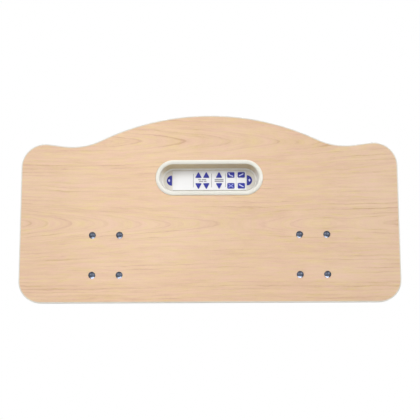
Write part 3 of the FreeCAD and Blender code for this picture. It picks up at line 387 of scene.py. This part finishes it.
def laminate():
    """Beech-look laminate, with two rows of flames and straight grain between them."""
    recipe = Recipe("laminate", roughness=0.42, specular=0.35)
    x, _, z = recipe.axes()
    side = recipe.spread(x, cad_low.x, cad_high.x)
    height = waved(recipe, z)
    level = recipe.spread(height, cad_low.z, cad_high.z)
    rings = ring_count(recipe, side, height)

    # How dark the wood is
    grain = streaks(recipe, rings, x, 1.6, 13.0, detail=5.0, roughness=0.72, seed=1.5)
    broad = streaks(recipe, rings, x, 0.35, 2.5, detail=2.0, roughness=0.5, seed=3.5)
    dark = recipe.calc("MULTIPLY", strong_lines(recipe, rings, height), STRONG_SHARE)
    dark = recipe.calc("MULTIPLY_ADD", fine_lines(recipe, rings), FINE_SHARE, dark)
    dark = recipe.calc("MULTIPLY_ADD", grain, STREAK_SHARE, dark)
    dark = recipe.calc("MULTIPLY_ADD", broad, BROAD_SHARE, dark)
    # Bands of grain, and painted shade that darkens the board towards its top
    dark = recipe.calc("MULTIPLY_ADD", recipe.curve(level, BAND_AND_SHADE_CURVE), BAND_AND_SHADE_SHARE, dark)

    # Its colour, with unevenness in hue and in patches, painted shade from side to side, and
    # flecks
    tone = recipe.ramp(dark, WOOD_TONES)
    hue = streaks(recipe, rings, x, 2.0, 22.0, detail=4.0, roughness=0.7, seed=6.5)
    tone = recipe.blend(1.0, tone, recipe.ramp(hue, HUE_TINTS), mode="MULTIPLY")
    patches = recipe.noise((3.5, 0.0, 7.0), detail=2.0, shift=(2.0, 0.0, 9.0))
    patches = recipe.spread(patches, 0.35, 0.65, 0.0, 0.1)
    tone = recipe.blend(patches, tone, linear(PATCH_TINT), mode="MULTIPLY")
    # Painted shade: a grey that lightens or darkens the board from side to side
    side_shade = recipe.ramp(side, [(spot, (grey, grey, grey)) for spot, grey in SIDE_SHADE_GREYS])
    tone = recipe.blend(1.0, tone, side_shade, mode="MULTIPLY")
    flecks = recipe.noise((260.0, 0.0, 3600.0), detail=1.0, shift=(4.0, 0.0, 4.0))
    flecks = recipe.spread(flecks, 0.60, 0.72, 0.0, 0.35)
    recipe.colour(recipe.blend(flecks, tone, linear(FLECK_TONE)))

    # Its gloss and its pores
    recipe.roughness(recipe.spread(grain, 0.0, 1.0, 0.38, 0.48))
    relief = recipe.calc("ADD", flecks, recipe.calc("MULTIPLY", grain, 0.3))
    recipe.bump(relief, 0.00006, strength=0.6)
    return recipe.material


def moulded(name, colour, roughness, grain=2400.0, depth=0.00004, mottle=4):
    """Moulded plastic with a fine sparked texture and a faint unevenness of colour."""
    recipe = Recipe(name, roughness=roughness)
    cloud = recipe.noise(9.0, detail=3.0)
    recipe.colour(recipe.ramp(cloud, [(0.3, darker(colour, mottle)), (0.7, colour)]))
    recipe.sparked(roughness, grain, depth)
    return recipe.material


def pan_plastic():
    """Cream moulded plastic, with painted highlight on the inner wall and painted shade where it
    faces down.
    """
    recipe = Recipe("pan_plastic", roughness=PAN_ROUGHNESS, specular=0.6)
    _, y, z = recipe.axes()
    low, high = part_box("recess_pan")
    middle = (low.z + high.z) / 2
    wall_start, wall_full = [low.y + depth for depth in WALL_START]
    wall_last, wall_end = [low.y + depth for depth in WALL_END]
    inside = recipe.spread(y, wall_start, wall_full, smooth=True)
    above_ledge = recipe.spread(y, wall_last, wall_end, 1.0, 0.0, smooth=True)
    upper = recipe.spread(z, middle, high.z - PAINTED_SHADE_DROP, smooth=True)
    normal = recipe.add("SeparateXYZ", {"Vector": recipe.add("TexCoord").outputs["Normal"]})
    faces_down = recipe.spread(normal.outputs["Z"], -0.15, 0.0, 1.0, 0.0, smooth=True)
    # Painted shade: the upper inner wall is darkened to tan where it faces down
    painted_shade = recipe.calc("MULTIPLY", recipe.calc("MULTIPLY", inside, above_ledge), upper)
    painted_shade = recipe.calc("MULTIPLY", painted_shade, faces_down)
    cloud = recipe.noise(9.0, detail=3.0)
    tone = recipe.ramp(cloud, [(0.3, (237, 235, 224)), (0.7, (241, 239, 229))])
    # Painted highlight: the inner wall and its ledge are whitened
    tone = recipe.blend(inside, tone, linear(PAINTED_WALL_HIGHLIGHT))
    recipe.colour(recipe.blend(painted_shade, tone, linear(PAINTED_SHADE_TONE)))
    recipe.sparked(PAN_ROUGHNESS)
    return recipe.material


def printed(name, colour):
    """Ink, with the faint unevenness of a screen print."""
    recipe = Recipe(name, specular=0.3)
    grain = recipe.noise(900.0, detail=2.0)
    recipe.colour(recipe.ramp(grain, [(0.3, darker(colour, 10)), (0.6, colour)]))
    return recipe.material


def key_rubber():
    """Blue silicone that lets a little light in."""
    recipe = Recipe("key_blue", roughness=0.34, specular=0.35)
    cloud = recipe.noise(160.0, detail=2.0)
    recipe.colour(recipe.ramp(cloud, [(0.3, (38, 42, 146)), (0.7, (48, 54, 162))]))
    recipe.shader.inputs["Subsurface Weight"].default_value = 0.12
    recipe.shader.inputs["Subsurface Radius"].default_value = (0.3, 0.3, 1.0)
    recipe.shader.inputs["Subsurface Scale"].default_value = 0.001
    recipe.bump(recipe.noise(3000.0), 0.00003, strength=0.4)
    return recipe.material


def worked_metal(name, colour, roughness):
    """Metal with fine marks of working."""
    recipe = Recipe(name, roughness=roughness, metallic=1.0)
    marks = recipe.noise(300.0, detail=4.0, roughness=0.65)
    recipe.colour(recipe.ramp(marks, [(0.3, darker(colour, 22)), (0.7, colour)]))
    recipe.roughness(recipe.spread(marks, 0.3, 0.7, roughness - 0.08, roughness + 0.1))
    recipe.bump(marks, 0.00003, strength=0.4)
    return recipe.material


def powder_coat():
    """Pale grey powder coat with a fine orange peel."""
    recipe = Recipe("powder_coat", roughness=0.38)
    peel = recipe.noise(520.0, detail=2.0)
    recipe.colour(recipe.ramp(peel, [(0.3, (196, 194, 186)), (0.7, (208, 206, 198))]))
    recipe.bump(peel, 0.00012, strength=0.5)
    return recipe.material


def circuit_laminate():
    """Green circuit board with faint copper tracks under the mask."""
    recipe = Recipe("circuit_laminate", roughness=0.35)
    cells = recipe.add(
        "TexVoronoi", {"Vector": recipe.stretched((180.0, 0.0, 180.0)), "Scale": 1.0},
        feature="DISTANCE_TO_EDGE", distance="MANHATTAN")
    track = recipe.spread(cells.outputs["Distance"], 0.02, 0.06)
    recipe.colour(recipe.ramp(track, [(0.0, (44, 108, 70)), (1.0, (24, 78, 50))]))
    recipe.bump(track, 0.00003, strength=0.5)
    return recipe.material


def dress(material, *nodes):
    """Give CAD nodes a material."""
    for name in nodes:
        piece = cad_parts[name]
        if not piece.material_slots:
            piece.data.materials.append(material)
        for held in piece.material_slots:
            held.material = material


def dress_all():
    """Give every CAD node its material."""
    keys = [name.removesuffix("_key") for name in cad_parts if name.endswith("_key")]
    dress(laminate(), "board")
    dress(moulded("band_plastic", (232, 228, 216), 0.4), "edge_band")
    dress(pan_plastic(), "recess_pan")
    dress(moulded("face_plastic", (226, 222, 214), 0.32), "faceplate")
    label_film = moulded(
        "label_film", (237, 238, 240), 0.3, grain=1500.0, depth=0.00002, mottle=2)
    dress(label_film, "overlay_label")
    dress(key_rubber(), *[key + "_key" for key in keys])
    dress(moulded("plunger_plastic", (206, 204, 196), 0.45), *[key + "_plunger" for key in keys])
    dark_plastic = moulded("dark_plastic", (38, 38, 42), 0.5)
    dress(dark_plastic, "controller_chip", *[key + "_switch" for key in keys])
    dress(moulded("header_plastic", (226, 222, 208), 0.5), "cable_header")
    dress(circuit_laminate(), "circuit_board")
    zinc_steel = worked_metal("zinc_steel", (190, 192, 196), 0.34)
    dress(zinc_steel, "circuit_screws", "cover_screws", "socket_screws", "washers")
    grey_plastic = moulded("grey_plastic", (176, 176, 172), 0.5, grain=1400.0, depth=0.0001)
    dress(grey_plastic, "rear_cover")
    dress(moulded("gland_rubber", (34, 34, 36), 0.62), "cable_gland")
    dress(powder_coat(), "left_post_socket", "right_post_socket")
    dress(worked_metal("bolt_finish", (82, 87, 98), 0.36), "barrel_nuts")


def print_on(name, outlines, face_y, material, body):
    """Closed outlines (x, z) printed on a face that looks to the front, riding on a body.
    Seen from the front, each outline runs anticlockwise."""
    corners = []
    faces = []
    for outline in outlines:
        front = range(len(corners), len(corners) + len(outline))
        back = range(front.stop, front.stop + len(outline))
        corners += [(x, face_y - PRINT_LIFT, z) for x, z in outline]
        corners += [(x, face_y + PRINT_SINK, z) for x, z in outline]
        faces += [tuple(front), tuple(reversed(back))]
        for i in range(len(outline)):
            faces.append((front[i - 1], back[i - 1], back[i], front[i]))
    mesh = bpy.data.meshes.new(name)
    mesh.from_pydata(corners, [], faces)
    piece = bpy.data.objects.new(name, mesh)
    bpy.context.scene.collection.objects.link(piece)
    mesh.materials.append(material)
    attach(piece, body)


def half_round(tip, radius, facing):
    """Half a circle of points (x, z) round the tip of a line that runs at an angle."""
    points = []
    for i in range(HALF_ROUND_STEPS + 1):
        here = facing - math.pi / 2 + math.pi * i / HALF_ROUND_STEPS
        points.append((tip[0] + radius * math.cos(here), tip[1] + radius * math.sin(here)))
    return points


def bar(start, end, width):
    """The outline of a straight bar with rounded ends, between two points (x, z)."""
    angle = math.atan2(end[1] - start[1], end[0] - start[0])
    return half_round(end, width / 2, angle) + half_round(start, width / 2, angle + math.pi)


def upright(x, middle, width):
    """The outline of a divider on the label."""
    return bar((x, middle - DIVIDER_HALF_HEIGHT), (x, middle + DIVIDER_HALF_HEIGHT), width)


def cross(half_width, half_height, width):
    """The outline of two crossed bars with rounded ends."""
    slope = math.atan2(half_height, half_width)
    reach = math.hypot(half_width, half_height)
    inner_x = width / 2 / math.sin(slope)
    inner_z = width / 2 / math.cos(slope)
    arms = (
        (slope, (inner_x, 0.0)), (math.pi - slope, (0.0, inner_z)),
        (math.pi + slope, (-inner_x, 0.0)), (-slope, (0.0, -inner_z)))
    outline = []
    for turn, corner in arms:
        tip = (reach * math.cos(turn), reach * math.sin(turn))
        outline += [corner, *half_round(tip, width / 2, turn)]
    return outline


def oval(half_width, half_height, shift=0.0):
    """The outline of an oval, moved sideways by a shift."""
    turns = [2 * math.pi * i / OVAL_STEPS for i in range(OVAL_STEPS)]
    return [(shift + half_width * math.cos(here), half_height * math.sin(here)) for here in turns]


def bend(points, width):
    """The outline of a bent line of even width through points (x, z)."""
    left = []
    right = []
    for i, spot in enumerate(points):
        before = Vector(points[max(i - 1, 0)])
        after = Vector(points[min(i + 1, len(points) - 1)])
        along = (after - before).normalized()
        side = Vector((-along.y, along.x)) * (width / 2)
        left.append((spot[0] + side.x, spot[1] + side.y))
        right.append((spot[0] - side.x, spot[1] - side.y))
    return right + left[::-1]


def label_print():
    """The plain marks on the label: dividers between the groups of keys and generic bars. Below
    it, a painted shadow line on the faceplate.
    """
    ink = printed("grey_ink", (150, 150, 156))
    pale_ink = printed("pale_ink", (206, 206, 208))
    painted_shadow_ink = printed("painted_shadow_ink", (150, 148, 138))
    low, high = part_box("overlay_label")
    middle = (low.z + high.z) / 2
    dividers = [upright(x, middle, DIVIDER_WIDTH) for x in DIVIDER_PLACES]
    print_on("label_dividers", dividers, low.y, ink, "root")
    thin = upright(THIN_DIVIDER_PLACE, middle, THIN_DIVIDER_WIDTH)
    print_on("label_thin_divider", [thin], low.y, pale_ink, "root")
    # A painted shadow: a dark line on the faceplate just under the label
    line_z = low.z - SHADOW_LINE_DROP
    line_start = (low.x + SHADOW_LINE_INSET, line_z)
    line_end = (high.x - SHADOW_LINE_INSET, line_z)
    line = bar(line_start, line_end, SHADOW_LINE_WIDTH)
    plate_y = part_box("faceplate")[0].y
    print_on("label_painted_shadow_line", [line], plate_y, painted_shadow_ink, "root")
    pair = (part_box("head_up_key")[0].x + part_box("knee_up_key")[1].x) / 2
    marks = []
    for start, end, rise in WORD_BARS:
        z = middle + rise
        marks.append(bar((pair + start, z), (pair + end, z), WORD_BAR_WIDTH))
    height_low, height_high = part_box("height_up_key")
    column = (height_low.x + height_high.x) / 2
    for rise in HEIGHT_BAR_RISES:
        start = (column - HEIGHT_BAR_REACH, middle + rise)
        end = (column + HEIGHT_BAR_REACH, middle + rise)
        marks.append(bar(start, end, HEIGHT_BAR_WIDTH))
    print_on("label_marks", marks, low.y, ink, "root")


def key_marks():
    """The pale marks on the keys. Each rides on its own key."""
    ink = printed("mark_ink", (206, 212, 244))
    faint = printed("faint_mark_ink", (146, 154, 222))
    marks = {
        "chair_position": (ink, bend(CHAIR_LINE, LINE_WIDTH)),
        "flat_position": (faint, cross(*CROSS_HALF_SIZE, CROSS_WIDTH)),
        "head_tilt": (ink, bar(*HEAD_TILT_LINE, LINE_WIDTH)),
        "foot_tilt": (ink, bar(*FOOT_TILT_LINE, LINE_WIDTH)),
        "left_end": (ink, oval(*END_MARK_HALF_SIZE, LEFT_END_SHIFT)),
        "right_end": (ink, oval(*END_MARK_HALF_SIZE)),
    }
    for key, (material, outline) in marks.items():
        low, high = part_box(key + "_key")
        middle_x = (low.x + high.x) / 2
        middle_z = (low.z + high.z) / 2
        placed = [(middle_x + x, middle_z + z) for x, z in outline]
        print_on(key + "_mark", [placed], low.y, material, key + "_button")


def panel_turn():
    """The panel's turn as the camera sees it."""
    yaw = Matrix.Rotation(math.radians(CAMERA_TURNS["yaw"]), 3, "Z")
    pitch = Matrix.Rotation(math.radians(CAMERA_TURNS["pitch"]), 3, "X")
    roll = Matrix.Rotation(math.radians(CAMERA_TURNS["roll"]), 3, "Y")
    return roll @ pitch @ yaw


def make_camera():
    """The camera of the photograph."""
    turn = panel_turn().transposed()
    aim = Vector((0.0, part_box("board")[0].y, cad_low.z + AIM_HEIGHT))
    place = aim + turn @ Vector((-AIM_SHIFT[0], -CAMERA_DISTANCE, -AIM_SHIFT[1]))
    right = turn @ Vector((1.0, 0.0, 0.0))
    ahead = turn @ Vector((0.0, 1.0, 0.0))
    up = turn @ Vector((0.0, 0.0, 1.0))
    data = bpy.data.cameras.new("camera")
    data.sensor_width = SENSOR_WIDTH
    data.lens = SENSOR_WIDTH * PIXELS_PER_METRE * CAMERA_DISTANCE / IMAGE_SIDE
    camera = bpy.data.objects.new("camera", data)
    bpy.context.scene.collection.objects.link(camera)
    axes = Matrix((right, up, -ahead)).transposed()
    camera.matrix_world = Matrix.Translation(place) @ axes.to_4x4()
    bpy.context.scene.camera = camera


def add_lamp(name, power, place, size, aim=LAMP_AIM, glints=()):
    """A soft lamp that faces a point. With glints, it is only seen mirrored in those nodes."""
    data = bpy.data.lights.new(name, "AREA")
    data.shape = "RECTANGLE"
    data.energy = power
    data.size, data.size_y = size
    lamp = bpy.data.objects.new(name, data)
    bpy.context.scene.collection.objects.link(lamp)
    lamp.location = place
    lamp.rotation_euler = (Vector(aim) - Vector(place)).to_track_quat("-Z", "Y").to_euler()
    lamp.visible_camera = False
    if glints:
        lamp.visible_diffuse = False
        shiny = bpy.data.collections.new(name + "_nodes")
        for node in glints:
            shiny.objects.link(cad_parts[node])
        lamp.light_linking.receiver_collection = shiny


def make_world():
    """White where it is seen or mirrored, and a soft even grey as light."""
    world = bpy.data.worlds.new("studio")
    bpy.context.scene.world = world
    world.use_nodes = True
    world.node_tree.nodes.clear()
    nodes = Nodes(world.node_tree)
    path = nodes.add("LightPath").outputs
    seen = nodes.calc("MAXIMUM", path["Is Camera Ray"], path["Is Glossy Ray"])
    seen = nodes.calc("MAXIMUM", seen, path["Is Transmission Ray"])
    background = nodes.add("Background", {
        "Color": (1.0, 1.0, 1.0, 1.0), "Strength": nodes.spread(seen, 0.0, 1.0, AMBIENT, 1.0)})
    nodes.add("OutputWorld", {"Surface": background.outputs[0]})


def make_floor():
    """A round pale floor whose edge fades into the white around it."""
    recipe = Recipe("floor", roughness=0.7, specular=0.2)
    recipe.colour(linear(FLOOR_COLOUR))
    x, y, _ = recipe.axes()
    squares = recipe.calc("ADD", recipe.calc("MULTIPLY", x, x), recipe.calc("MULTIPLY", y, y))
    far = recipe.calc("SQRT", squares)
    fade = recipe.spread(far, FLOOR_FADE_START, FLOOR_RADIUS, 1.0, 0.0, smooth=True)
    recipe.feed(recipe.shader.inputs["Alpha"], fade)
    mesh = bpy.data.meshes.new("floor")
    shape = bmesh.new()
    bmesh.ops.create_circle(
        shape, cap_ends=True, radius=FLOOR_RADIUS, segments=FLOOR_SEGMENTS)
    shape.to_mesh(mesh)
    shape.free()
    floor = bpy.data.objects.new("floor", mesh)
    bpy.context.scene.collection.objects.link(floor)
    floor.location = (0.0, 0.0, cad_low.z - FLOOR_DROP)
    mesh.materials.append(recipe.material)


dress_all()
label_print()
key_marks()
make_camera()
for lamp_name, settings in LAMPS.items():
    add_lamp(lamp_name, **settings)
make_world()
make_floor()

bpy.context.scene.view_settings.view_transform = "Standard"
